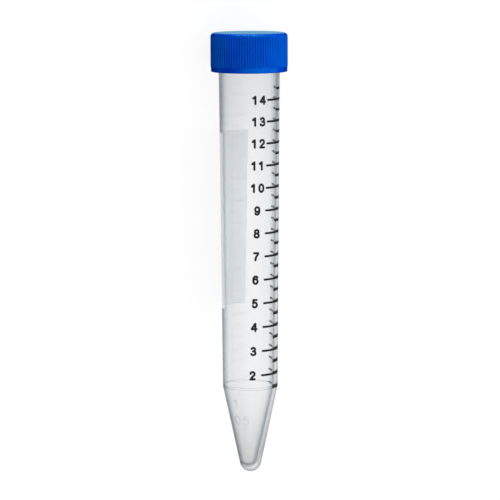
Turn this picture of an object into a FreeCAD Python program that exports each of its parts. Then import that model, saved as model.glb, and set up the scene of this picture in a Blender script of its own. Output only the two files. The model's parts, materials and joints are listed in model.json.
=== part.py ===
import FreeCAD, Part
import math
import os

# A 15 ml conical tube with its screw cap. All sizes are in millimetres and degrees.
# Both pieces are drawn upright, with the tip of the tube at the origin and its axis along +Z.
# They are laid down together at the end, as the capped tube comes to rest on a flat surface.

# Tube
tube_length = 119.6        # tip to rim
cone_height = 23.9         # tip to the corner where the cone meets the barrel
barrel_end_diameter = 15.0  # outside, at that corner
barrel_draft = 0.5         # lean of the barrel's wall, which widens towards the rim
barrel_wall = 0.8
floor_thickness = 1.7      # solid plastic under the bottom of the bore
tip_radius = 2.95          # round outside of the tip
bore_tip_radius = 2.0      # round bottom of the bore
bore_corner_rise = 0.5     # the bore's corner lies this much above the outside corner
corner_blend = 1.2         # radius where cone and barrel meet, inside and outside
rim_blend = 0.25           # radius on both edges of the rim

# Cap
cap_depth = 9.2            # how far the skirt reaches down over the neck
cap_top_thickness = 1.4
skirt_wall = 1.23          # from the cap's bore to the crests of the ribs
thread_room = 0.92         # between the neck and the cap's bore, where the threads run
band_height = 1.4          # plain band below the ribs
band_step = 0.1            # the band stands in from the crests by this much
rib_count = 90
rib_crest_width = 0.1
groove_depth = 0.25
cap_top_blend = 1.13       # radius round the top edge
skirt_edge_blend = 0.3     # radius on the lower outside edge
skirt_lead = 0.4           # chamfer at the mouth of the skirt
dimple_diameter = 1.3      # gate mark in the middle of the top
dimple_depth = 0.2

# Plug ring inside the cap, which seals the mouth of the tube
plug_length = 2.4
plug_wall = 1.0
plug_clearance = 0.05      # between the ring and the bore
plug_lead = 0.4            # chamfer at the ring's free end

axis = FreeCAD.Vector(0, 0, 1)
origin = FreeCAD.Vector(0, 0, 0)

draft = math.tan(math.radians(barrel_draft))
corner_radius = barrel_end_diameter / 2
bore_corner_height = cone_height + bore_corner_rise
cap_bottom = tube_length - cap_depth
cap_top = tube_length + cap_top_thickness
rib_bottom = cap_bottom + band_height


def outside_radius(height):
    """Outside radius of the barrel and neck at a height above the tip."""
    return corner_radius + (height - cone_height) * draft


def bore_radius(height):
    """Radius of the barrel's bore at a height above the tip."""
    return outside_radius(height) - barrel_wall


cap_bore_radius = outside_radius(tube_length) + thread_room
crest_radius = cap_bore_radius + skirt_wall
plug_radius = bore_radius(tube_length - plug_length) - plug_clearance


def point(radius, height):
    """Point of a profile, drawn in the plane of the axis."""
    return FreeCAD.Vector(radius, 0, height)


def rounded_line(start, corners, end):
    """Edges of a line from start to end whose corners are rounded, each with its own radius."""
    edges = []
    last = start
    route = [start] + [corner for corner, blend in corners] + [end]
    for index, (corner, blend) in enumerate(corners, 1):
        back = (route[index - 1] - corner).normalize()
        ahead = (route[index + 1] - corner).normalize()
        half = back.getAngle(ahead) / 2
        bisector = (back + ahead).normalize()
        first = corner + back * (blend / math.tan(half))
        second = corner + ahead * (blend / math.tan(half))
        middle = corner + bisector * (blend / math.sin(half) - blend)
        edges.append(Part.LineSegment(last, first).toShape())
        edges.append(Part.Arc(first, middle, second).toShape())
        last = second
    edges.append(Part.LineSegment(last, end).toShape())
    return edges


def round_tip(radius, bottom, corner):
    """Arc of a round tip from the axis to where a cone to the given corner leaves it."""
    centre = bottom + radius
    rise = corner.z - centre
    half_angle = math.atan2(corner.x, rise) - math.asin(radius / math.hypot(corner.x, rise))

    def on_tip(angle):
        return point(radius * math.cos(angle), centre - radius * math.sin(angle))

    leave = on_tip(half_angle)
    middle = on_tip((half_angle + math.pi / 2) / 2)
    return Part.Arc(point(0, bottom), middle, leave).toShape(), leave


def turned(edges):
    """Solid made by turning a closed profile about the axis."""
    face = Part.Face(Part.Wire(edges))
    return face.revolve(origin, axis, 360)


def tube():
    """Tip, cone, barrel and neck, hollow to the rim."""
    corner = point(corner_radius, cone_height)
    bore_corner = point(bore_radius(bore_corner_height), bore_corner_height)
    tip, outside_start = round_tip(tip_radius, 0, corner)
    bore_tip, bore_start = round_tip(bore_tip_radius, floor_thickness, bore_corner)
    wall = rounded_line(
        outside_start,
        [
            (corner, corner_blend),
            (point(outside_radius(tube_length), tube_length), rim_blend),
            (point(bore_radius(tube_length), tube_length), rim_blend),
            (bore_corner, corner_blend),
        ],
        bore_start,
    )
    floor = Part.LineSegment(point(0, floor_thickness), point(0, 0)).toShape()
    return turned([tip] + wall + [bore_tip, floor])


def cap_blank():
    """Cap before its grooves are cut, with the plug ring inside."""
    band_radius = crest_radius - band_step
    outline = rounded_line(
        point(plug_radius - plug_wall, tube_length),
        [
            (point(plug_radius - plug_wall, tube_length - plug_length), plug_wall / 4),
            (point(plug_radius - plug_lead, tube_length - plug_length), plug_wall / 4),
        ],
        point(plug_radius, tube_length - plug_length + 2 * plug_lead),
    )
    inside = [
        point(plug_radius, tube_length - plug_length + 2 * plug_lead),
        point(plug_radius, tube_length),
        point(cap_bore_radius, tube_length),
        point(cap_bore_radius, cap_bottom + skirt_lead),
        point(cap_bore_radius + skirt_lead, cap_bottom),
    ]
    outline += [Part.LineSegment(a, b).toShape() for a, b in zip(inside, inside[1:])]
    outline += rounded_line(
        inside[-1],
        [(point(band_radius, cap_bottom), skirt_edge_blend)],
        point(band_radius, rib_bottom),
    )
    outline.append(Part.LineSegment(point(band_radius, rib_bottom), point(crest_radius, rib_bottom)).toShape())
    outline += rounded_line(
        point(crest_radius, rib_bottom),
        [(point(crest_radius, cap_top), cap_top_blend)],
        point(0, cap_top),
    )
    middle = [point(0, cap_top), point(0, tube_length), point(plug_radius - plug_wall, tube_length)]
    outline += [Part.LineSegment(a, b).toShape() for a, b in zip(middle, middle[1:])]
    return turned(outline)


def grooves():
    """Round grooves between the ribs, the first one on the underside of the laid-down cap."""
    groove_width = 2 * math.pi * crest_radius / rib_count - rib_crest_width
    radius = (groove_width ** 2 / 4 + groove_depth ** 2) / (2 * groove_depth)
    out = FreeCAD.Vector(0, crest_radius - groove_depth + radius, rib_bottom)
    groove = Part.makeCylinder(radius, cap_top - rib_bottom + cap_top_blend, out, axis)
    cuts = []
    for index in range(rib_count):
        cut = groove.copy()
        cut.rotate(origin, axis, index * 360 / rib_count)
        cuts.append(cut)
    return cuts


def dimple():
    """Ball that leaves the shallow gate mark in the middle of the top."""
    radius = (dimple_diameter ** 2 / 4 + dimple_depth ** 2) / (2 * dimple_depth)
    return Part.makeSphere(radius, FreeCAD.Vector(0, 0, cap_top - dimple_depth + radius))


def screw_cap():
    """Ribbed cap with its plug ring."""
    return cap_blank().cut(grooves() + [dimple()])


def rest_tilt():
    """Angle of the axis above the surface when the cap's ribs and the barrel's corner touch it."""
    cap_radius = crest_radius * math.cos(math.pi / rib_count)
    return math.degrees(math.atan2(cap_radius - corner_radius, rib_bottom - cone_height))


def laid_down(shapes):
    """Shapes turned onto their side, cap towards +Y, with the origin under the middle of their box."""
    tilt = rest_tilt()
    for shape in shapes:
        shape.rotate(origin, FreeCAD.Vector(1, 0, 0), tilt - 90)
    box = Part.makeCompound(shapes).optimalBoundingBox(False, False)
    shift = FreeCAD.Vector(-box.Center.x, -box.Center.y, -box.ZMin)
    for shape in shapes:
        shape.translate(shift)
    run = math.radians(tilt)
    print("axis of the tube: 0 %.6f %.6f" % (math.cos(run), math.sin(run)))
    print("tip of the tube: %.4f %.4f %.4f" % (shift.x, shift.y, shift.z))
    return shapes


pieces = {"tube": tube(), "screw_cap": screw_cap()}
laid_down(list(pieces.values()))

os.makedirs("parts", exist_ok=True)
for name, shape in pieces.items():
    solids = shape.Solids
    print("%s: %d solid, valid %s, %.3f cubic centimetres" % (name, len(solids), shape.isValid(), shape.Volume / 1000))
    solids[0].exportStep("parts/%s.step" % name)
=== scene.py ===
import json
import math

import bpy
from mathutils import Matrix, Vector
from mathutils.geometry import delaunay_2d_cdt


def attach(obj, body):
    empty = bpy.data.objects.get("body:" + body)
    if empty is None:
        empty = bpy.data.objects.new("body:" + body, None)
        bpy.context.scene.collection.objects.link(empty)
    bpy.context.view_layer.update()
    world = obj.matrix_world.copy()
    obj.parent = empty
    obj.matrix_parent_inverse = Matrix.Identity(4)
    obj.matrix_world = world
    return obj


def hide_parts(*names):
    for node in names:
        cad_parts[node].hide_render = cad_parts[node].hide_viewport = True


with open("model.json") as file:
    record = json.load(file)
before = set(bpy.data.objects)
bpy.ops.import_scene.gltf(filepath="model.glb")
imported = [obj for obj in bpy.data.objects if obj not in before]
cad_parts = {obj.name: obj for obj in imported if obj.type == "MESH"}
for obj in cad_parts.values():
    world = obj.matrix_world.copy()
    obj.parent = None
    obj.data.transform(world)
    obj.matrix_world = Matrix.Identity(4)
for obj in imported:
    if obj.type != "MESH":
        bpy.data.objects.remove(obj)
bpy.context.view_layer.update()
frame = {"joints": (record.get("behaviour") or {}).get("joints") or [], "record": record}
mm = 0.001

# Every piece is modelled upright in millimetres, the tip of the tube at the origin, its axis along +Z
# and its printed side towards -Y. Around the axis, 0 degrees is the printed side and 90 is its right.
# The placement then lays it down where the frame has it.
placing = {
    "joint": "cap_lift",  # slides along the axis of the tube
    "mount": "rotor_cone",  # lies on that axis
    "mountHeight": 12.0,  # above the tip
}


def layingDown():
    joint = next(j for j in frame["joints"] if j["name"] == placing["joint"])
    mount = next(m for m in frame["record"]["mounts"] if m["name"] == placing["mount"])
    axis = Vector(joint["axis"]).normalized()
    tip = Vector(mount["pos_m"]) - axis * placing["mountHeight"] * mm
    right = Vector((1, 0, 0))
    turned = Matrix((right, axis.cross(right), axis)).transposed().to_4x4()
    return Matrix.Translation(tip) @ turned


placement = layingDown()


# Mesh helpers

def addPiece(name, points, faces, material, sharpAngle=35):
    # points are in millimetres, in the upright frame
    mesh = bpy.data.meshes.new(name)
    mesh.from_pydata([Vector(p) * mm for p in points], [], faces)
    mesh.validate()
    mesh.shade_smooth()
    mesh.set_sharp_from_angle(angle=math.radians(sharpAngle))
    mesh.materials.append(material)
    piece = bpy.data.objects.new(name, mesh)
    bpy.context.scene.collection.objects.link(piece)
    return piece


def layDown(piece):
    # In its mesh, so that the object stays at the origin
    piece.data.transform(placement)


def aroundAxis(radius, degrees, height):
    angle = math.radians(degrees)
    return (radius * math.sin(angle), -radius * math.cos(angle), height)


def joinRings(first, second, closed=True):
    # Faces between two rings of point numbers. One ring may be a single point, or have a whole
    # number of times more points than the other.
    if len(first) > len(second):
        return [tuple(reversed(face)) for face in joinRings(second, first, closed)]
    if len(first) == 1:
        return [(first[0], second[i - 1], second[i]) for i in range(0 if closed else 1, len(second))]
    count = len(first)
    times = len(second) // count
    faces = []
    for i in range(count if closed else count - 1):
        a, b = first[i], first[(i + 1) % count]
        fine = [second[(i * times + j) % len(second)] for j in range(times + 1)]
        if times == 1:
            faces.append((a, fine[0], fine[1], b))
            continue
        half = times // 2
        for j in range(times):
            faces.append((a if j < half else b, fine[j], fine[j + 1]))
        faces.append((a, fine[half], b))
    return faces


def turnedPiece(name, rings, material):
    # rings is a list of lists of points, from the outside of one end round to the inside of it
    points = []
    faces = []
    last = None
    for ring in rings:
        numbers = list(range(len(points), len(points) + len(ring)))
        points += ring
        if last:
            faces += joinRings(last, numbers)
        last = numbers
    return addPiece(name, points, faces, material)


def ringAt(radius, height, count, change=None):
    # change(degrees, radius, height) gives the radius there
    if radius < 1e-6:
        return [(0, 0, height)]
    ring = []
    for i in range(count):
        degrees = 360 * i / count
        here = change(degrees, radius, height) if change else radius
        ring.append(aroundAxis(here, degrees, height))
    return ring


def roundedLine(start, corners, end, stepAt=None, arcStep=10):
    # Points of a profile line (radius, height) whose corners are rounded, each with its own radius.
    # stepAt(height) is how far apart points lie on the straight runs.
    start, end = Vector(start), Vector(end)
    route = [start] + [Vector(corner) for corner, blend in corners] + [end]
    points = [start]
    for index, (corner, blend) in enumerate(corners, 1):
        corner = Vector(corner)
        back = (route[index - 1] - corner).normalized()
        ahead = (route[index + 1] - corner).normalized()
        half = back.angle(ahead) / 2
        centre = corner + (back + ahead).normalized() * (blend / math.sin(half))
        first = corner + back * (blend / math.tan(half))
        second = corner + ahead * (blend / math.tan(half))
        points += straightRun(points[-1], first, stepAt)
        turn = math.pi - 2 * half
        steps = max(2, round(math.degrees(turn) / arcStep))
        spoke = first - centre
        way = 1 if spoke.cross(second - centre) > 0 else -1
        turns = [Matrix.Rotation(way * turn * i / steps, 2) for i in range(1, steps + 1)]
        points += [centre + rotation @ spoke for rotation in turns]
    return points + straightRun(points[-1], end, stepAt)


shortestStep = 0.02  # the last step of a straight run is never shorter


def straightRun(start, end, stepAt):
    # Points after start, up to end
    length = (end - start).length
    if not stepAt:
        return [end]
    points = []
    gone = 0
    while True:
        gone += stepAt(start.y + (end.y - start.y) * gone / length)
        if gone > length - shortestStep:
            return points + [end]
        points.append(start.lerp(end, gone / length))


# Threads, which run up to the right as on the real neck and cap

def threadHeight(degrees, height, thread):
    # How far a thread stands off its wall at a place round the axis
    turns = (height - thread["start"]) / thread["pitch"]
    nearest = degrees / 360 + round(turns - degrees / 360)
    offCentre = abs(turns - nearest) * thread["pitch"]
    fromEnd = min(nearest, thread["turns"] - nearest)
    fade = min(1, max(0, fromEnd / thread["fadeTurns"]))
    rise = min(1, max(0, (thread["baseWidth"] / 2 - offCentre) / thread["flank"]))
    return thread["height"] * smooth(rise) * smooth(fade)


def smooth(share):
    return share * share * (3 - 2 * share)


# The tube

tubeShape = {
    "length": 119.6,
    "coneHeight": 23.9,
    "cornerRadius": 7.5,  # outside, where the cone meets the barrel
    "draft": math.tan(math.radians(0.5)),
    "wall": 0.8,
    "floor": 1.7,
    "tipRadius": 2.95,
    "boreTipRadius": 2.0,
    "boreCornerRise": 0.5,
    "cornerBlend": 1.2,
    "cornerWidth": 0.06,  # of the painted dark line on that corner, to either side
    "tipShade": 0.43,  # painted shade at the tip: how much less light comes through there
    "tipReach": 30,  # the height at which that has worn off
    "neckShade": 0.07,  # the same at the neck, a painted shadow of the cap
    "neckStart": 108,
    "neckReach": 35,  # how far down from there it wears off
    "figureShade": 0.56,  # painted shade on the moulded figures, the same way
    "rimBlend": 0.25,
    "boreLean": -0.5,  # how far the moulding core had shifted sideways at the tip
    "beadHeight": 109.7,  # thin ring just under the cap
    "beadRise": 0.05,
    "beadHalfWidth": 0.45,
    "columns": 384,
    "tipSteps": 16,
    "figureBand": (12.6, 22.0),  # the part of the cone that carries the moulded figures
    "threadBand": (109.0, 118.9),
    "figureSpacing": 0.13,
    "threadSpacing": 0.2,
    "plainSpacing": 4,  # between rows elsewhere
}
neckThread = {
    "start": 112.3,
    "pitch": 2.7,
    "turns": 1.9,
    "height": 0.56,
    "baseWidth": 1.5,
    "flank": 0.45,
    "fadeTurns": 0.06,
}
mouldedMarks = {
    "rise": 0.05,  # off the wall of the cone
    "halfWidth": 0.06,
    "edge": 0.11,
    "height": 2.4,
    "tickEnds": (-112, -66),  # degrees
    "side": (-117, 15),  # degrees between which they all lie
    "near": 1.2,  # strokes further off than this share of the height play no part
    "figures": (("1", 19.9, -34), ("0.5", 15.1, -25)),  # text, height of its middle, degrees
}


def outsideRadius(height):
    return tubeShape["cornerRadius"] + (height - tubeShape["coneHeight"]) * tubeShape["draft"]


def tipArc(radius, bottom, corner):
    # Points from the axis round a ball-shaped tip to where the cone to the given corner leaves it
    centre = bottom + radius
    rise = corner[1] - centre
    leave = math.atan2(corner[0], rise) - math.asin(radius / math.hypot(corner[0], rise))
    steps = tubeShape["tipSteps"]
    angles = [math.pi / 2 + (leave - math.pi / 2) * i / steps for i in range(steps + 1)]
    return [Vector((radius * math.cos(a), centre - radius * math.sin(a))) for a in angles]


def rowSpacing(height):
    # Rows lie close together in both bands, and no step down goes far into one
    spacing = tubeShape["plainSpacing"]
    for band, fine in (("figureBand", "figureSpacing"), ("threadBand", "threadSpacing")):
        low, high = tubeShape[band]
        if height > low:
            spacing = min(spacing, max(tubeShape[fine], height - high))
    return spacing


def coneRadius(height):
    # Outside radius of the cone, without its blends
    tip = tipArc(tubeShape["tipRadius"], 0, (tubeShape["cornerRadius"], tubeShape["coneHeight"]))[-1]
    share = (height - tip.y) / (tubeShape["coneHeight"] - tip.y)
    return tip.x + (tubeShape["cornerRadius"] - tip.x) * share


def mouldedStrokes():
    # Strokes of the moulded figures and ticks, as lines of (degrees, height)
    strokes = []
    for text, middle, place in mouldedMarks["figures"]:
        perDegree = math.radians(coneRadius(middle))
        for line in textStrokes(text, mouldedMarks["height"], mouldedMarks["halfWidth"] * 2):
            strokes.append([(place + x / perDegree, middle + y) for x, y in line])
        first, last = mouldedMarks["tickEnds"]
        strokes.append([(first, middle), ((first + last) / 2, middle), (last, middle)])
    return strokes


def buildTube(outer, inner):
    s = tubeShape
    corner = (s["cornerRadius"], s["coneHeight"])
    boreCornerHeight = s["coneHeight"] + s["boreCornerRise"]
    boreCorner = (outsideRadius(boreCornerHeight) - s["wall"], boreCornerHeight)
    rim = outsideRadius(s["length"])
    strokes = mouldedStrokes()
    low, high = s["figureBand"]

    def relief(degrees, radius, height):
        if low < height < high:
            return radius + mouldedRise(degrees, radius, height, strokes)
        bead = max(0, 1 - abs(height - s["beadHeight"]) / s["beadHalfWidth"])
        return radius + s["beadRise"] * smooth(bead) + threadHeight(degrees, height, neckThread)

    def leaning(ring):
        return [(x + s["boreLean"] * (1 - z / s["length"]), y, z) for x, y, z in ring]

    # From the bottom of the bore up, over the rim, and down the outside to the tip
    bore = tipArc(s["boreTipRadius"], s["floor"], boreCorner)
    tip = tipArc(s["tipRadius"], 0, corner)
    middleOfRim = (rim - s["wall"] / 2, s["length"])
    inside = bore + roundedLine(
        bore[-1],
        [(boreCorner, s["cornerBlend"]), ((rim - s["wall"], s["length"]), s["rimBlend"])],
        middleOfRim,
        lambda height: s["plainSpacing"],
    )[1:]
    outside = roundedLine(
        middleOfRim,
        [((rim, s["length"]), s["rimBlend"]), (corner, s["cornerBlend"])],
        tip[-1],
        rowSpacing,
    )[1:]
    outside += reversed(tip[:-1])
    rings = [leaning(ringAt(radius, height, s["columns"])) for radius, height in inside]
    rings += [ringAt(radius, height, s["columns"], relief) for radius, height in outside]
    piece = turnedPiece("clear_tube", rings, outer)
    piece.data.materials.append(inner)
    for face in piece.data.polygons:
        out = face.center.x * face.normal.x + face.center.y * face.normal.y
        if out < 0 or face.index < s["columns"]:
            face.material_index = 1
    # Painted shade for the clear plastic to darken by, one value on each point
    shade = piece.data.attributes.new("shade", "FLOAT", "POINT")
    for point, value in zip(piece.data.vertices, shade.data):
        value.value = shadeAt(point.co / mm, strokes)
    layDown(piece)
    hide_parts("tube")
    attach(piece, "tube")


def shadeAt(place, strokes):
    # Painted shade, given as how much less light comes through the wall: 1 on the corner between cone and
    # barrel, a painted dark line there, less on the moulded figures, and a little at both ends, painted
    # darkening at the tip and a painted shadow of the cap at the neck
    s = tubeShape
    radius = math.hypot(place.x, place.y)
    low, high = s["figureBand"]
    corners = (s["coneHeight"], s["coneHeight"] + s["boreCornerRise"])
    if min(abs(place.z - corner) for corner in corners) < s["cornerWidth"]:
        return 1
    # Painted darkening towards the tip, and the painted shadow of the cap over the neck
    ends = s["tipShade"] * max(0, 1 - place.z / s["tipReach"]) ** 2
    ends += s["neckShade"] * smooth(min(1, max(0, 1 - (s["neckStart"] - place.z) / s["neckReach"])))
    if low < place.z < high and radius > coneRadius(place.z) - s["wall"] / 2:
        rise = mouldedRise(math.degrees(math.atan2(place.x, -place.y)), radius, place.z, strokes)
        ends += s["figureShade"] * rise / mouldedMarks["rise"]
    return ends


def mouldedRise(degrees, radius, height, strokes):
    # How far the moulded figures stand off the cone at a place
    degrees = (degrees + 180) % 360 - 180
    low, high = mouldedMarks["side"]
    if not low < degrees < high:
        return 0
    perDegree = math.radians(radius)
    reach = mouldedMarks["halfWidth"] + mouldedMarks["edge"]
    nearest = reach
    place = Vector((degrees * perDegree, height))
    for line in strokes:
        if abs(line[0][1] - height) > mouldedMarks["height"] * mouldedMarks["near"]:
            continue
        for a, b in zip(line, line[1:]):
            nearest = min(nearest, distanceToRun(place, (a[0] * perDegree, a[1]), (b[0] * perDegree, b[1])))
    return mouldedMarks["rise"] * smooth(min(1, (reach - nearest) / mouldedMarks["edge"]))


def distanceToRun(place, start, end):
    start, end = Vector(start), Vector(end)
    along = end - start
    share = min(1, max(0, (place - start).dot(along) / max(along.length_squared, 1e-9)))
    return (place - start - along * share).length


# The cap

capShape = {
    "bottom": 110.4,
    "top": 121.0,
    "ceiling": 119.6,  # rests on the rim of the tube
    "boreRadius": 9.255,
    "crestRadius": 10.485,
    "ribBottom": 111.8,
    "bandStep": 0.1,
    "ribCount": 90,
    "ribPoints": 8,
    "crestWidth": 0.1,
    "grooveDepth": 0.25,
    "grooveEnd": 0.25,  # the grooves run out over this height at the band
    "topBlend": 1.13,
    "edgeBlend": 0.3,
    "lead": 0.4,
    "dimpleRadius": 0.65,
    "dimpleDepth": 0.2,
    "plugRadius": 7.4645,
    "plugWall": 1.0,
    "plugLength": 2.4,
    "plugLead": 0.4,
    "insideColumns": 180,
    "topColumns": 90,
    "dimpleRings": 5,
    "topRings": (0.72, 2, 4, 6, 8),  # radii
    "topEdge": 0.3,  # the next ring lies this far inside the rounded edge
    "blendRings": 18,
    "ribRings": 6,
    "grooveRings": 5,
    "grooveLift": 0.01,  # keeps the last of these off the band
    "threadRings": 56,
    "edgeArcStep": 15,  # degrees
    "plugArcStep": 18,
}
capThread = {
    "start": neckThread["start"] - neckThread["pitch"] / 2,
    "pitch": neckThread["pitch"],
    "turns": 2.2,
    "height": 0.7,
    "baseWidth": 1.2,
    "flank": 0.4,
    "fadeTurns": 0.05,
}


def ribPlaces():
    # (degrees, radius) of the points round one groove and the crests beside it
    c = capShape
    pitch = 360 / c["ribCount"]
    width = math.radians(pitch) * c["crestRadius"] - c["crestWidth"]
    ball = (width ** 2 / 4 + c["grooveDepth"] ** 2) / (2 * c["grooveDepth"])
    centre = c["crestRadius"] - c["grooveDepth"] + ball
    widest = math.asin(width / 2 / ball)
    places = []
    for i in range(c["ribPoints"]):
        turn = widest * (2 * i / (c["ribPoints"] - 1) - 1)
        across, out = ball * math.sin(turn), centre - ball * math.cos(turn)
        places.append((math.degrees(math.atan2(across, out)), math.hypot(across, out)))
    return [
        (pitch * rib + degrees, radius)
        for rib in range(c["ribCount"])
        for degrees, radius in places
    ]


def buildCap(ribbed, smoothTop):
    c = capShape
    ribs = ribPlaces()
    band = c["crestRadius"] - c["bandStep"]
    ball = (c["dimpleRadius"] ** 2 + c["dimpleDepth"] ** 2) / (2 * c["dimpleDepth"])
    flat = c["crestRadius"] - c["topBlend"]

    def ribRing(height, most):
        return [aroundAxis(min(radius, most), degrees, height) for degrees, radius in ribs]

    rings = [ringAt(0, c["top"] - c["dimpleDepth"], 1)]
    for i in range(1, c["dimpleRings"] + 1):
        radius = c["dimpleRadius"] * i / c["dimpleRings"]
        fall = c["dimpleDepth"] - ball + math.sqrt(ball ** 2 - radius ** 2)
        rings.append(ringAt(radius, c["top"] - fall, c["topColumns"]))
    for radius in (*c["topRings"], flat - c["topEdge"]):
        rings.append(ringAt(radius, c["top"], c["topColumns"]))
    for i in range(c["blendRings"] + 1):
        turn = math.radians(90 * i / c["blendRings"])
        height = c["top"] - c["topBlend"] * (1 - math.cos(turn))
        rings.append(ribRing(height, flat + c["topBlend"] * math.sin(turn)))
    straight = c["top"] - c["topBlend"] - c["ribBottom"] - c["grooveEnd"]
    for i in range(1, c["ribRings"] + 1):
        height = c["ribBottom"] + c["grooveEnd"] + straight * (1 - i / c["ribRings"])
        rings.append(ribRing(height, c["crestRadius"]))
    for i in range(1, c["grooveRings"] + 1):
        share = i / c["grooveRings"]
        fill = 1 - math.sqrt(1 - share ** 2)
        least = band - (band - c["crestRadius"] + c["grooveDepth"]) * (1 - fill)
        height = c["ribBottom"] + c["grooveEnd"] * (1 - share) + c["grooveLift"]
        rings.append([aroundAxis(max(radius, least), degrees, height) for degrees, radius in ribs])
    rings.append(ringAt(band, c["ribBottom"], c["insideColumns"]))
    edge = roundedLine(
        (band, c["ribBottom"]),
        [((band, c["bottom"]), c["edgeBlend"])],
        (c["boreRadius"] + c["lead"], c["bottom"]),
        arcStep=c["edgeArcStep"],
    )[1:]
    edge.append((c["boreRadius"], c["bottom"] + c["lead"]))
    rings += [ringAt(radius, height, c["insideColumns"]) for radius, height in edge]

    def threaded(degrees, radius, height):
        return radius - threadHeight(degrees, height, capThread)

    for i in range(1, c["threadRings"] + 1):
        height = c["bottom"] + c["lead"] + (c["ceiling"] - c["bottom"] - c["lead"]) * i / c["threadRings"]
        rings.append(ringAt(c["boreRadius"], height, c["insideColumns"], threaded))
    free = c["ceiling"] - c["plugLength"]
    plug = roundedLine(
        (c["plugRadius"], c["ceiling"]),
        [
            ((c["plugRadius"], free + 2 * c["plugLead"]), c["plugWall"] / 4),
            ((c["plugRadius"] - c["plugLead"], free), c["plugWall"] / 4),
            ((c["plugRadius"] - c["plugWall"], free), c["plugWall"] / 4),
        ],
        (c["plugRadius"] - c["plugWall"], c["ceiling"]),
        arcStep=c["plugArcStep"],
    )
    rings += [ringAt(radius, height, c["insideColumns"]) for radius, height in plug]
    rings.append(ringAt(0, c["ceiling"], 1))
    piece = turnedPiece("ribbed_cap", rings, ribbed)
    piece.data.materials.append(smoothTop)
    # The smooth top ends a little way down its rounded edge
    for face in piece.data.polygons:
        across = math.hypot(face.center.x, face.center.y) / mm
        if face.center.z / mm > c["top"] - c["topBlend"] / 3 and across < flat + c["topBlend"] / 2:
            face.material_index = 1
    layDown(piece)
    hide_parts("screw_cap")
    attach(piece, "cap")


# Figures, drawn with a pen of even width in a box that is 1 wide and 1 high

figureShape = {
    "width": 0.68,  # as shares of the height of a figure
    "apart": 0.81,
    "pointApart": 0.52,
    "arcStep": 15,  # degrees
}


def arc(x, y, across, up, start, end, square=2.0):
    # Points of an oval arc, in degrees from its right. More than 2 makes its sides straighter.
    steps = max(4, round(abs(end - start) / figureShape["arcStep"]))
    points = []
    for i in range(steps + 1):
        turn = math.radians(start + (end - start) * i / steps)
        side, top = math.cos(turn), math.sin(turn)
        points.append((
            x + across * math.copysign(abs(side) ** (2 / square), side),
            y + up * math.copysign(abs(top) ** (2 / square), top),
        ))
    return points


def figureStrokes(figure):
    # A line is split where it turns sharply
    if figure == "0":
        return [arc(0.5, 0.5, 0.5, 0.5, 0, 360, 2.1)]
    if figure == "1":
        return [[(0.5, 0), (0.5, 1)], [(0.47, 0.97), (0, 0.76)], [(0, 0.76), (0.45, 0.78)]]
    if figure == "2":
        return [arc(0.5, 0.7, 0.47, 0.3, 170, -25) + [(0.45, 0.33), (0.03, 0.01)], [(0.02, 0), (1, 0)]]
    if figure == "3":
        return [
            arc(0.48, 0.755, 0.42, 0.245, 160, -80) + [(0.4, 0.52)],
            [(0.4, 0.52)] + arc(0.48, 0.265, 0.5, 0.265, 80, -160),
        ]
    if figure == "4":
        return [[(0.8, 0), (0.8, 1)], [(0.74, 1), (-0.05, 0.31)], [(-0.05, 0.28), (1.07, 0.28)]]
    if figure == "5":
        return [[(0.92, 1), (0.2, 1), (0.1, 0.5)], arc(0.48, 0.33, 0.5, 0.33, 130, -155)]
    if figure == "6":
        return [arc(0.5, 0.32, 0.48, 0.32, 0, 360), arc(0.54, 0.62, 0.52, 0.38, 35, 180) + [(0.02, 0.35)]]
    if figure == "7":
        return [[(0.02, 1), (0.98, 1)], [(0.98, 0.98)] + arc(1.3, 0, 0.96, 0.85, 115, 178)]
    if figure == "8":
        return [arc(0.5, 0.765, 0.42, 0.235, 0, 360), arc(0.5, 0.265, 0.5, 0.265, 0, 360)]
    if figure == "9":
        return [[(1 - x, 1 - y) for x, y in line] for line in figureStrokes("6")]
    return [[(0.5, 0), (0.5, 0.01)]]  # point


def textStrokes(text, height, pen):
    # Centre lines of a text whose middle lies at 0, 0
    wide = height * figureShape["width"] - pen
    high = height - pen
    places = [0]
    for before, after in zip(text, text[1:]):
        step = figureShape["pointApart" if "." in (before, after) else "apart"]
        places.append(places[-1] + step * height)
    strokes = []
    for figure, place in zip(text, places):
        left = place - places[-1] / 2 - wide / 2
        for line in figureStrokes(figure):
            strokes.append([(left + x * wide, (y - 0.5) * high) for x, y in line])
    return strokes


# Ink

scaleShape = {
    "topMark": 14,
    "top": 103.13,  # its height
    "firstStep": 5.794,  # down to mark 13; the steps grow towards the cone, where the bore is narrower
    "growth": 0.039,
    "lastDrop": 0.4,  # the last mark, just above the cone, lies lower than the others would have it
    "marks": range(14, 1, -1),
    "halfMarks": range(29, 2, -1),  # every tick, counted in half marks
    "tickStep": 0.5,
    "pen": 0.58,
    "longStart": (37.7, -0.42, -0.053),  # degrees, at mark 14 and how it changes down to the others
    "shortStart": (65.5, -0.9, 0),
    "end": (113, 0.75, 0),
    "slope": math.tan(math.radians(0.2)),
    "figureHeight": 2.6,
    "figurePen": 0.59,
    "figureMiddle": 2.67,  # from the start of a mark back to the middle of its figures, round the barrel
    "lift": 0.02,
    "sink": 0.01,
    "roundSides": 12,  # of the round ends of a line
    "weld": 0.00001,  # corners nearer than this become one
}


def markHeight(mark):
    steps = scaleShape["topMark"] - mark
    height = scaleShape["top"] - scaleShape["firstStep"] * steps - scaleShape["growth"] * steps ** 2
    return height - scaleShape["lastDrop"] if mark < scaleShape["marks"][-1] else height


def turnAt(end, mark):
    # Where a mark starts or ends round the barrel
    first, perMark, growth = scaleShape[end]
    steps = scaleShape["topMark"] - mark
    return first + perMark * steps + growth * steps ** 2


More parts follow.
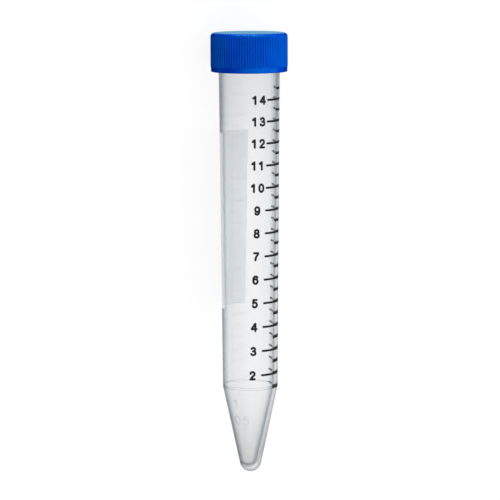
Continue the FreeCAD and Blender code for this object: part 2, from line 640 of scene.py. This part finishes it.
def ribbon(line, pen):
    # Four-sided fields along a line of (x, y), and a round field at each free end
    line = [Vector(p) for p in line]
    closed = (line[0] - line[-1]).length < 1e-4
    if closed:
        line = line[:-1]
    sides = []
    for i, place in enumerate(line):
        before = (place - line[i - 1]).normalized() if closed or i else None
        after = (line[(i + 1) % len(line)] - place).normalized() if closed or i < len(line) - 1 else None
        along = ((before or after) + (after or before)).normalized()
        across = Vector((-along.y, along.x)) * (pen / 2)
        mitre = 1 / max(0.5, along.dot(after or before))  # at most twice as wide
        sides.append((place + across * mitre, place - across * mitre))
    fields = [
        [sides[i - 1][0], sides[i - 1][1], sides[i][1], sides[i][0]]
        for i in range(0 if closed else 1, len(sides))
    ]
    if not closed:
        sides = scaleShape["roundSides"]
        turns = [2 * math.pi * i / sides for i in range(sides)]
        for place in (line[0], line[-1]):
            fields.append([place + Vector((math.cos(t), math.sin(t))) * (pen / 2) for t in turns])
    return fields


def covers(field, place):
    # The corners of a field run anticlockwise
    return all((b - a).cross(place - a) > 0 for a, b in zip(field, field[1:] + field[:1]))


def inkPiece(name, groups, material):
    # A thin closed shell on the barrel for each group of flat fields of (x, y): x runs round the
    # barrel from the printed side, y is the height above the tip
    shell = []
    shellFaces = []
    for fields in groups:
        corners = []
        faces = []
        for field in fields:
            faces.append(list(range(len(corners), len(corners) + len(field))))
            corners += field
        # 1 asks for triangles inside the fields only
        merged = delaunay_2d_cdt(corners, [], faces, 1, scaleShape["weld"])
        flat, triangles = merged[0], merged[2]
        if len(groups) > 1:
            # What the strokes only enclose, such as the inside of a 0, stays open
            middles = [sum((flat[i] for i in t), Vector((0, 0))) / 3 for t in triangles]
            triangles = [t for t, m in zip(triangles, middles) if any(covers(field, m) for field in fields)]
        low, high = len(shell), len(shell) + len(flat)
        for lift in (-scaleShape["sink"], scaleShape["lift"]):
            for x, y in flat:
                radius = outsideRadius(y)
                shell.append(aroundAxis(radius + lift, math.degrees(x / radius), y))
        used = set()
        for t in triangles:
            shellFaces.append(tuple(high + i for i in t))
            shellFaces.append(tuple(low + i for i in reversed(t)))
            used |= {(t[0], t[1]), (t[1], t[2]), (t[2], t[0])}
        for a, b in sorted(used):
            if (b, a) not in used:
                shellFaces.append((low + a, low + b, high + b, high + a))
    return addPiece(name, shell, shellFaces, material, sharpAngle=60)


def buildScale(material):
    s = scaleShape
    lines = []
    for half in s["halfMarks"]:
        mark = half / 2
        long = half % 2 == 0
        height = markHeight(mark)
        radius = outsideRadius(height)
        start = turnAt("longStart" if long else "shortStart", mark)
        end = turnAt("end", mark)
        first, last = (math.radians(a) * radius for a in (start, end))
        middle = math.radians(turnAt("longStart", mark)) * radius
        steps = max(2, round((last - first) / s["tickStep"]))
        line = [first + (last - first) * i / steps for i in range(steps + 1)]
        lines.append(ribbon([(x, height + (x - middle) * s["slope"]) for x in line], s["pen"]))
    ticks = inkPiece("scale_marks", lines, material)
    numbers = []
    for mark in s["marks"]:
        height = markHeight(mark)
        middle = math.radians(turnAt("longStart", mark)) * outsideRadius(height) - s["figureMiddle"]
        fields = []
        for line in textStrokes(str(mark), s["figureHeight"], s["figurePen"]):
            fields += ribbon([(middle + x, height + y) for x, y in line], s["figurePen"])
        numbers.append(fields)
    figures = inkPiece("scale_figures", numbers, material)
    for piece in (ticks, figures):
        layDown(piece)
        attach(piece, "tube")


patchShape = {
    "bottom": 45.8,
    "top": 94.0,
    "front": -64,  # degrees
    "back": (-172, -178),  # at the bottom and the top
    "columns": 38,
    "rows": 16,
}


def buildPatch(material):
    p = patchShape
    columns, rows = p["columns"], p["rows"]
    flat = []
    for row in range(rows + 1):
        share = row / rows
        height = p["bottom"] + (p["top"] - p["bottom"]) * share
        back = p["back"][0] + (p["back"][1] - p["back"][0]) * share
        for column in range(columns + 1):
            degrees = back + (p["front"] - back) * column / columns
            flat.append(Vector((math.radians(degrees) * outsideRadius(height), height)))
    fields = []
    for row in range(rows):
        for column in range(columns):
            a = row * (columns + 1) + column
            fields.append([flat[a], flat[a + 1], flat[a + columns + 2], flat[a + columns + 1]])
    piece = inkPiece("writing_patch", [fields], material)
    layDown(piece)
    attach(piece, "tube")


# Finishes

def newMaterial(name):
    material = bpy.data.materials.new(name)
    material.use_nodes = True
    material.node_tree.nodes.clear()
    return material, material.node_tree


def addNode(tree, kind, sockets=None, **settings):
    # Each socket, by name or number, gets a plain value or the output of another node
    node = tree.nodes.new(kind)
    for name, value in settings.items():
        setattr(node, name, value)
    for socket, source in (sockets or {}).items():
        if isinstance(source, bpy.types.NodeSocket):
            tree.links.new(source, node.inputs[socket])
        else:
            node.inputs[socket].default_value = source
    return node


def noiseOf(tree, scale, detail=2):
    place = addNode(tree, "ShaderNodeTexCoord").outputs["Object"]
    sockets = {"Vector": place, "Scale": scale, "Detail": detail}
    return addNode(tree, "ShaderNodeTexNoise", sockets).outputs["Fac"]


def between(tree, factor, ends):
    sockets = {"Value": factor, "To Min": ends[0], "To Max": ends[1]}
    return addNode(tree, "ShaderNodeMapRange", sockets).outputs["Result"]


def bumpOf(tree, height, bump):
    sockets = {"Height": height, "Strength": bump[0], "Distance": bump[1]}
    return addNode(tree, "ShaderNodeBump", sockets).outputs["Normal"]


def facingOf(tree):
    # 0 where a surface faces what sees it, and 1 where it is turned away
    return addNode(tree, "ShaderNodeLayerWeight", {"Blend": 0.5}).outputs["Facing"]


def compute(tree, operation, *terms):
    return addNode(tree, "ShaderNodeMath", dict(enumerate(terms)), operation=operation).outputs["Value"]


def darkened(tree, colour, share):
    product = addNode(tree, "ShaderNodeVectorMath", {0: colour, 1: share}, operation="MULTIPLY")
    return product.outputs["Vector"]


def mixed(tree, share, first, second):
    # All of the first shader where the share is 0, and all of the second where it is 1
    return addNode(tree, "ShaderNodeMixShader", {0: share, 1: first, 2: second}).outputs["Shader"]


def twoColours(tree, factor, ends, colours):
    ramp = addNode(tree, "ShaderNodeValToRGB", {"Fac": factor})
    for stop, position, colour in zip(ramp.color_ramp.elements, ends, colours):
        stop.position = position
        stop.color = colour
    return ramp.outputs["Color"]


edgeShadeTint = (0.72, 0.88, 1.0)  # bluish tint of the painted edge shade of the clear plastic, where its tone is low


def toneRamp(tree, factor, tones):
    ramp = addNode(tree, "ShaderNodeValToRGB", {"Fac": factor})
    stops = ramp.color_ramp.elements
    stops.remove(stops[1])
    for i, (position, tone) in enumerate(tones):
        stop = stops.new(position) if i else stops[0]
        stop.position = position
        stop.color = [tone * (tint + (1 - tint) * tone) for tint in edgeShadeTint] + [1]
    return ramp.outputs["Color"]


clearLook = {
    "flow": 90,  # fineness of the unevenness left by moulding
    "flowDetail": 3,
    "bump": (0.03, 0.0001),  # strength and distance
    "roughness": (0.01, 0.03),
    "ior": 1.49,
    "haze": 0.025,
    "hazeColour": (0.82, 0.82, 0.825, 1),
    "shadeTone": 0.75,  # what comes through where the painted shade is 1
    "shadeWidth": 2.2,  # how much sooner the painted edge shade darkens there
    "mirrorNarrow": 0.78,  # how much less the wall mirrors there
    "passing": (0.985, 0.988, 0.99, 1),  # light that passes through on its way to something else
}
# Painted edge shade: how much shines through and how much mirrors where a surface is turned away by so
# much. The wall darkens towards its edges and the bore mirrors a dark band, painted in place of the darker
# surroundings that it would refract and mirror
outsideLook = {
    "through": ((0.0, 0.99), (0.40, 0.975), (0.58, 0.90), (0.72, 0.86), (0.90, 0.83), (1.0, 0.72)),
    "mirrored": ((0.0, 1.0), (0.5, 0.9), (1.0, 0.9)),
}
boreLook = {
    "through": (
        (0.0, 0.985), (0.20, 0.97), (0.32, 0.95), (0.46, 0.90),
        (0.60, 0.82), (0.85, 0.74), (1.0, 0.56),
    ),
    "mirrored": (
        (0.0, 1.0), (0.18, 0.9), (0.205, 0.53), (0.28, 0.53),
        (0.305, 0.90), (0.335, 0.95), (0.5, 0.95), (0.75, 0.85), (0.9, 0.9),
    ),
}


def clearPlastic(name, tones):
    look = clearLook
    material, tree = newMaterial(name)
    flow = noiseOf(tree, look["flow"], look["flowDetail"])
    rough = between(tree, flow, look["roughness"])
    bump = bumpOf(tree, flow, look["bump"])
    away = facingOf(tree)
    # The shade attribute is painted shade: the corner line, the tip, the neck under the cap and the moulded
    # figures
    shade = addNode(tree, "ShaderNodeAttribute", attribute_name="shade").outputs["Fac"]
    stronger = compute(tree, "MULTIPLY_ADD", shade, look["shadeWidth"], 1)
    wider = compute(tree, "MULTIPLY", away, stronger)
    weaker = compute(tree, "MULTIPLY_ADD", shade, -look["mirrorNarrow"], 1)
    narrower = compute(tree, "MULTIPLY", away, weaker)
    # The tones by facing paint shade on the edges of the wall and a dark band mirrored in the bore
    clearest = toneRamp(tree, wider, tones["through"])
    tone = darkened(tree, clearest, between(tree, shade, (1, look["shadeTone"])))
    mirrorTone = darkened(tree, toneRamp(tree, narrower, tones["mirrored"]), weaker)
    through = addNode(tree, "ShaderNodeBsdfRefraction", {
        "Color": tone, "Roughness": rough, "IOR": look["ior"], "Normal": bump,
    })
    mirror = addNode(tree, "ShaderNodeBsdfAnisotropic", {
        "Color": mirrorTone, "Roughness": rough, "Normal": bump,
    })
    share = addNode(tree, "ShaderNodeFresnel", {"IOR": look["ior"], "Normal": bump})
    plastic = mixed(tree, share.outputs["Fac"], through.outputs["BSDF"], mirror.outputs["BSDF"])
    haze = addNode(tree, "ShaderNodeBsdfTranslucent", {"Color": look["hazeColour"]})
    milky = mixed(tree, look["haze"], plastic, haze.outputs["BSDF"])
    # Lamps and scattered light pass straight through it, which keeps its shadow light
    straight = addNode(tree, "ShaderNodeBsdfTransparent", {"Color": look["passing"]})
    ray = addNode(tree, "ShaderNodeLightPath")
    lighting = compute(tree, "MAXIMUM", ray.outputs["Is Shadow Ray"], ray.outputs["Is Diffuse Ray"])
    surface = mixed(tree, lighting, milky, straight.outputs["BSDF"])
    addNode(tree, "ShaderNodeOutputMaterial", {"Surface": surface})
    return material


capLook = {
    "dark": (0.0, 0.031, 0.45, 1),
    "light": (0.0, 0.045, 0.53, 1),
    "clouds": 160,  # fineness of the change from dark to light
    "cloudEnds": (0.35, 0.65),
    "grain": 2600,  # fineness of the satin surface
    "bump": (0.12, 0.00004),
    "sheenEnds": (0.29, 0.49),  # turned away so far, its gloss starts and ends fading, which paints shade on the sides of the cap
    # edge is the share of the gloss that is left then
    "ribs": {"roughness": (0.08, 0.13), "gloss": (0.02, 1.0, 0.9, 1), "ior": 1.52, "edge": 0.1},
    "topFace": {"roughness": (0.40, 0.50), "gloss": (0.40, 0.93, 1.0, 1), "ior": 1.8, "edge": 1},
}


def bluePlastic(name, finish):
    look = capLook
    material, tree = newMaterial(name)
    colours = (look["dark"], look["light"])
    shades = twoColours(tree, noiseOf(tree, look["clouds"]), look["cloudEnds"], colours)
    grain = noiseOf(tree, look["grain"])
    rough = between(tree, grain, finish["roughness"])
    bump = bumpOf(tree, grain, look["bump"])
    body = addNode(tree, "ShaderNodeBsdfPrincipled", {
        "Base Color": shades, "Roughness": rough, "Specular IOR Level": 0, "Normal": bump,
    })
    # Gloss fades where the cap turns away, painted shade on its sides
    faded = [tone * finish["edge"] for tone in finish["gloss"][:3]] + [1]
    sheen = twoColours(tree, facingOf(tree), look["sheenEnds"], (finish["gloss"], faded))
    gloss = addNode(tree, "ShaderNodeBsdfAnisotropic", {"Color": sheen, "Roughness": rough, "Normal": bump})
    share = addNode(tree, "ShaderNodeFresnel", {"IOR": finish["ior"], "Normal": bump})
    plastic = mixed(tree, share.outputs["Fac"], body.outputs["BSDF"], gloss.outputs["BSDF"])
    addNode(tree, "ShaderNodeOutputMaterial", {"Surface": plastic})
    return material


inkLook = {
    "cover": 900,  # fineness of the change from thin to full
    "coverDetail": 4,
    "coverEnds": (0.35, 0.6),
    "roughness": 0.55,
    "specular": 0.15,
    "black": ((0.012, 0.012, 0.013, 1), (0.004, 0.004, 0.004, 1)),  # thin and full
    "pale": ((0.90, 0.925, 0.945, 1), (0.955, 0.97, 0.98, 1)),
    "paleSeen": (0.97, 0.98, 0.995, 1),  # tint of what is seen through the pale ink
}
patchGlow = ((0.0, 0.40), (0.30, 0.45), (0.50, 1.0))  # light that it lets through, scattered
patchCover = ((0.0, 0.72), (0.34, 0.62), (0.44, 0.08), (1.0, 0.02))  # seen through it where turned away


def printed(tree, colours):
    # Ink that lies a little thinner in places: its shades, and the ink itself
    look = inkLook
    cover = noiseOf(tree, look["cover"], look["coverDetail"])
    shades = twoColours(tree, cover, look["coverEnds"], colours)
    ink = addNode(tree, "ShaderNodeBsdfPrincipled", {
        "Base Color": shades, "Roughness": look["roughness"], "Specular IOR Level": look["specular"],
    })
    return shades, ink.outputs["BSDF"]


def blackInk():
    material, tree = newMaterial("black_scale_ink")
    ink = printed(tree, inkLook["black"])[1]
    addNode(tree, "ShaderNodeOutputMaterial", {"Surface": ink})
    return material


def paleInk():
    material, tree = newMaterial("pale_patch_ink")
    shades, ink = printed(tree, inkLook["pale"])
    scattered = addNode(tree, "ShaderNodeBsdfTranslucent", {"Color": shades})
    away = facingOf(tree)
    milk = mixed(tree, toneRamp(tree, away, patchGlow), ink, scattered.outputs["BSDF"])
    straight = addNode(tree, "ShaderNodeBsdfTransparent", {"Color": inkLook["paleSeen"]})
    surface = mixed(tree, toneRamp(tree, away, patchCover), milk, straight.outputs["BSDF"])
    addNode(tree, "ShaderNodeOutputMaterial", {"Surface": surface})
    return material


# Floor, light and camera

studio = {
    "floorSize": 3.0,
    "floorDrop": 0.00002,  # below the object, so that the two don't share a face
    "floorColour": (0.22, 0.22, 0.22, 1),
    "floorGlow": (0.08, 0.79),  # as a light and as it is seen
    "skyFrom": (0.9, 0.0, 0.43),  # the bright side of the sky
    "skyLevels": (0.02, 1.40),  # away from it and towards it
    "skyTurn": (-0.42, 0.58),  # where it starts and ends turning from one to the other
    "boxPower": 5.0,
    "boxSize": (0.8, 0.1),
    "boxPlace": (0.0, 0.80, 0.16),
    "boxAim": (0, 0.05, 0.01),
    "aimHeight": 61.57,  # of the place on the axis that the camera looks at, above the tip
    "aimAside": 0.05,
    "cameraTilt": 7.323,  # degrees towards the cap
    "cameraDistance": 0.733,
    "cameraRoll": -0.2,
    "lens": 192.84,
    "clipStart": 0.01,
}
white = (1, 1, 1, 1)


def seenThere(tree):
    # 1 for what is seen directly or through the plastic, and 0 for what only lights
    ray = addNode(tree, "ShaderNodeLightPath")
    seen = compute(tree, "MAXIMUM", ray.outputs["Is Camera Ray"], ray.outputs["Is Transmission Ray"])
    first = compute(tree, "LESS_THAN", ray.outputs["Diffuse Depth"], 0.5)
    return compute(tree, "MULTIPLY", seen, first)


def buildFloor():
    material, tree = newMaterial("white_floor")
    cloth = addNode(tree, "ShaderNodeBsdfDiffuse", {"Color": studio["floorColour"]})
    strength = between(tree, seenThere(tree), studio["floorGlow"])
    glow = addNode(tree, "ShaderNodeEmission", {"Strength": strength})
    both = addNode(tree, "ShaderNodeAddShader", {0: cloth.outputs["BSDF"], 1: glow.outputs["Emission"]})
    addNode(tree, "ShaderNodeOutputMaterial", {"Surface": both.outputs["Shader"]})
    half = studio["floorSize"] / 2
    mesh = bpy.data.meshes.new("floor")
    corners = [(-half, -half, 0), (half, -half, 0), (half, half, 0), (-half, half, 0)]
    mesh.from_pydata(corners, [], [(0, 1, 2, 3)])
    mesh.materials.append(material)
    floor = bpy.data.objects.new("floor", mesh)
    bpy.context.scene.collection.objects.link(floor)
    floor.location.z = -studio["floorDrop"]


def buildWorld():
    # A sky that is bright on one side lights the object, and a white one is seen behind it
    world = bpy.data.worlds.new("studio")
    bpy.context.scene.world = world
    world.use_nodes = True
    tree = world.node_tree
    tree.nodes.clear()
    place = addNode(tree, "ShaderNodeTexCoord").outputs["Generated"]
    bright = Vector(studio["skyFrom"]).normalized()
    side = addNode(tree, "ShaderNodeVectorMath", {0: place, 1: bright}, operation="DOT_PRODUCT")
    (start, end), (low, high) = studio["skyTurn"], studio["skyLevels"]
    sockets = {
        "Value": side.outputs["Value"],
        "From Min": start, "From Max": end, "To Min": low, "To Max": high,
    }
    level = addNode(tree, "ShaderNodeMapRange", sockets, interpolation_type="SMOOTHSTEP")
    lighting = addNode(tree, "ShaderNodeBackground", {"Color": white, "Strength": level.outputs["Result"]})
    seen = addNode(tree, "ShaderNodeBackground", {"Color": white})
    sky = mixed(tree, seenThere(tree), lighting.outputs["Background"], seen.outputs["Background"])
    addNode(tree, "ShaderNodeOutputWorld", {"Surface": sky})


def buildLamps():
    lamp = bpy.data.lights.new("softbox", "AREA")
    lamp.shape = "RECTANGLE"
    lamp.energy = studio["boxPower"]
    lamp.size, lamp.size_y = studio["boxSize"]
    softbox = bpy.data.objects.new("softbox", lamp)
    softbox.location = studio["boxPlace"]
    aim = Vector(studio["boxAim"]) - softbox.location
    softbox.rotation_euler = aim.to_track_quat("-Z", "Y").to_euler()
    bpy.context.scene.collection.objects.link(softbox)


def buildCamera():
    data = bpy.data.cameras.new("camera")
    data.lens = studio["lens"]
    data.clip_start = studio["clipStart"]
    camera = bpy.data.objects.new("camera", data)
    bpy.context.scene.collection.objects.link(camera)
    tilt = math.radians(studio["cameraTilt"])
    aim = Vector((studio["aimAside"] * mm, 0, studio["aimHeight"] * mm))
    away = Vector((0, -math.cos(tilt), math.sin(tilt)))
    # Looks along -away, with the cap towards the top of the frame
    turned = Matrix((Vector((1, 0, 0)), away.cross(Vector((1, 0, 0))), away)).transposed().to_4x4()
    roll = Matrix.Rotation(math.radians(studio["cameraRoll"]), 4, "Z")
    spot = aim + away * studio["cameraDistance"]
    camera.matrix_world = placement @ Matrix.Translation(spot) @ turned @ roll
    bpy.context.scene.camera = camera


buildTube(clearPlastic("clear_outside", outsideLook), clearPlastic("clear_bore", boreLook))
print("tube built")
ribbedPlastic = bluePlastic("blue_ribbed_plastic", capLook["ribs"])
smoothPlastic = bluePlastic("blue_smooth_plastic", capLook["topFace"])
buildCap(ribbedPlastic, smoothPlastic)
print("cap built")
buildScale(blackInk())
print("scale printed")
buildPatch(paleInk())
print("patch printed")
buildFloor()
buildWorld()
buildLamps()
buildCamera()
bpy.context.scene.view_settings.view_transform = "Standard"
print("studio ready")
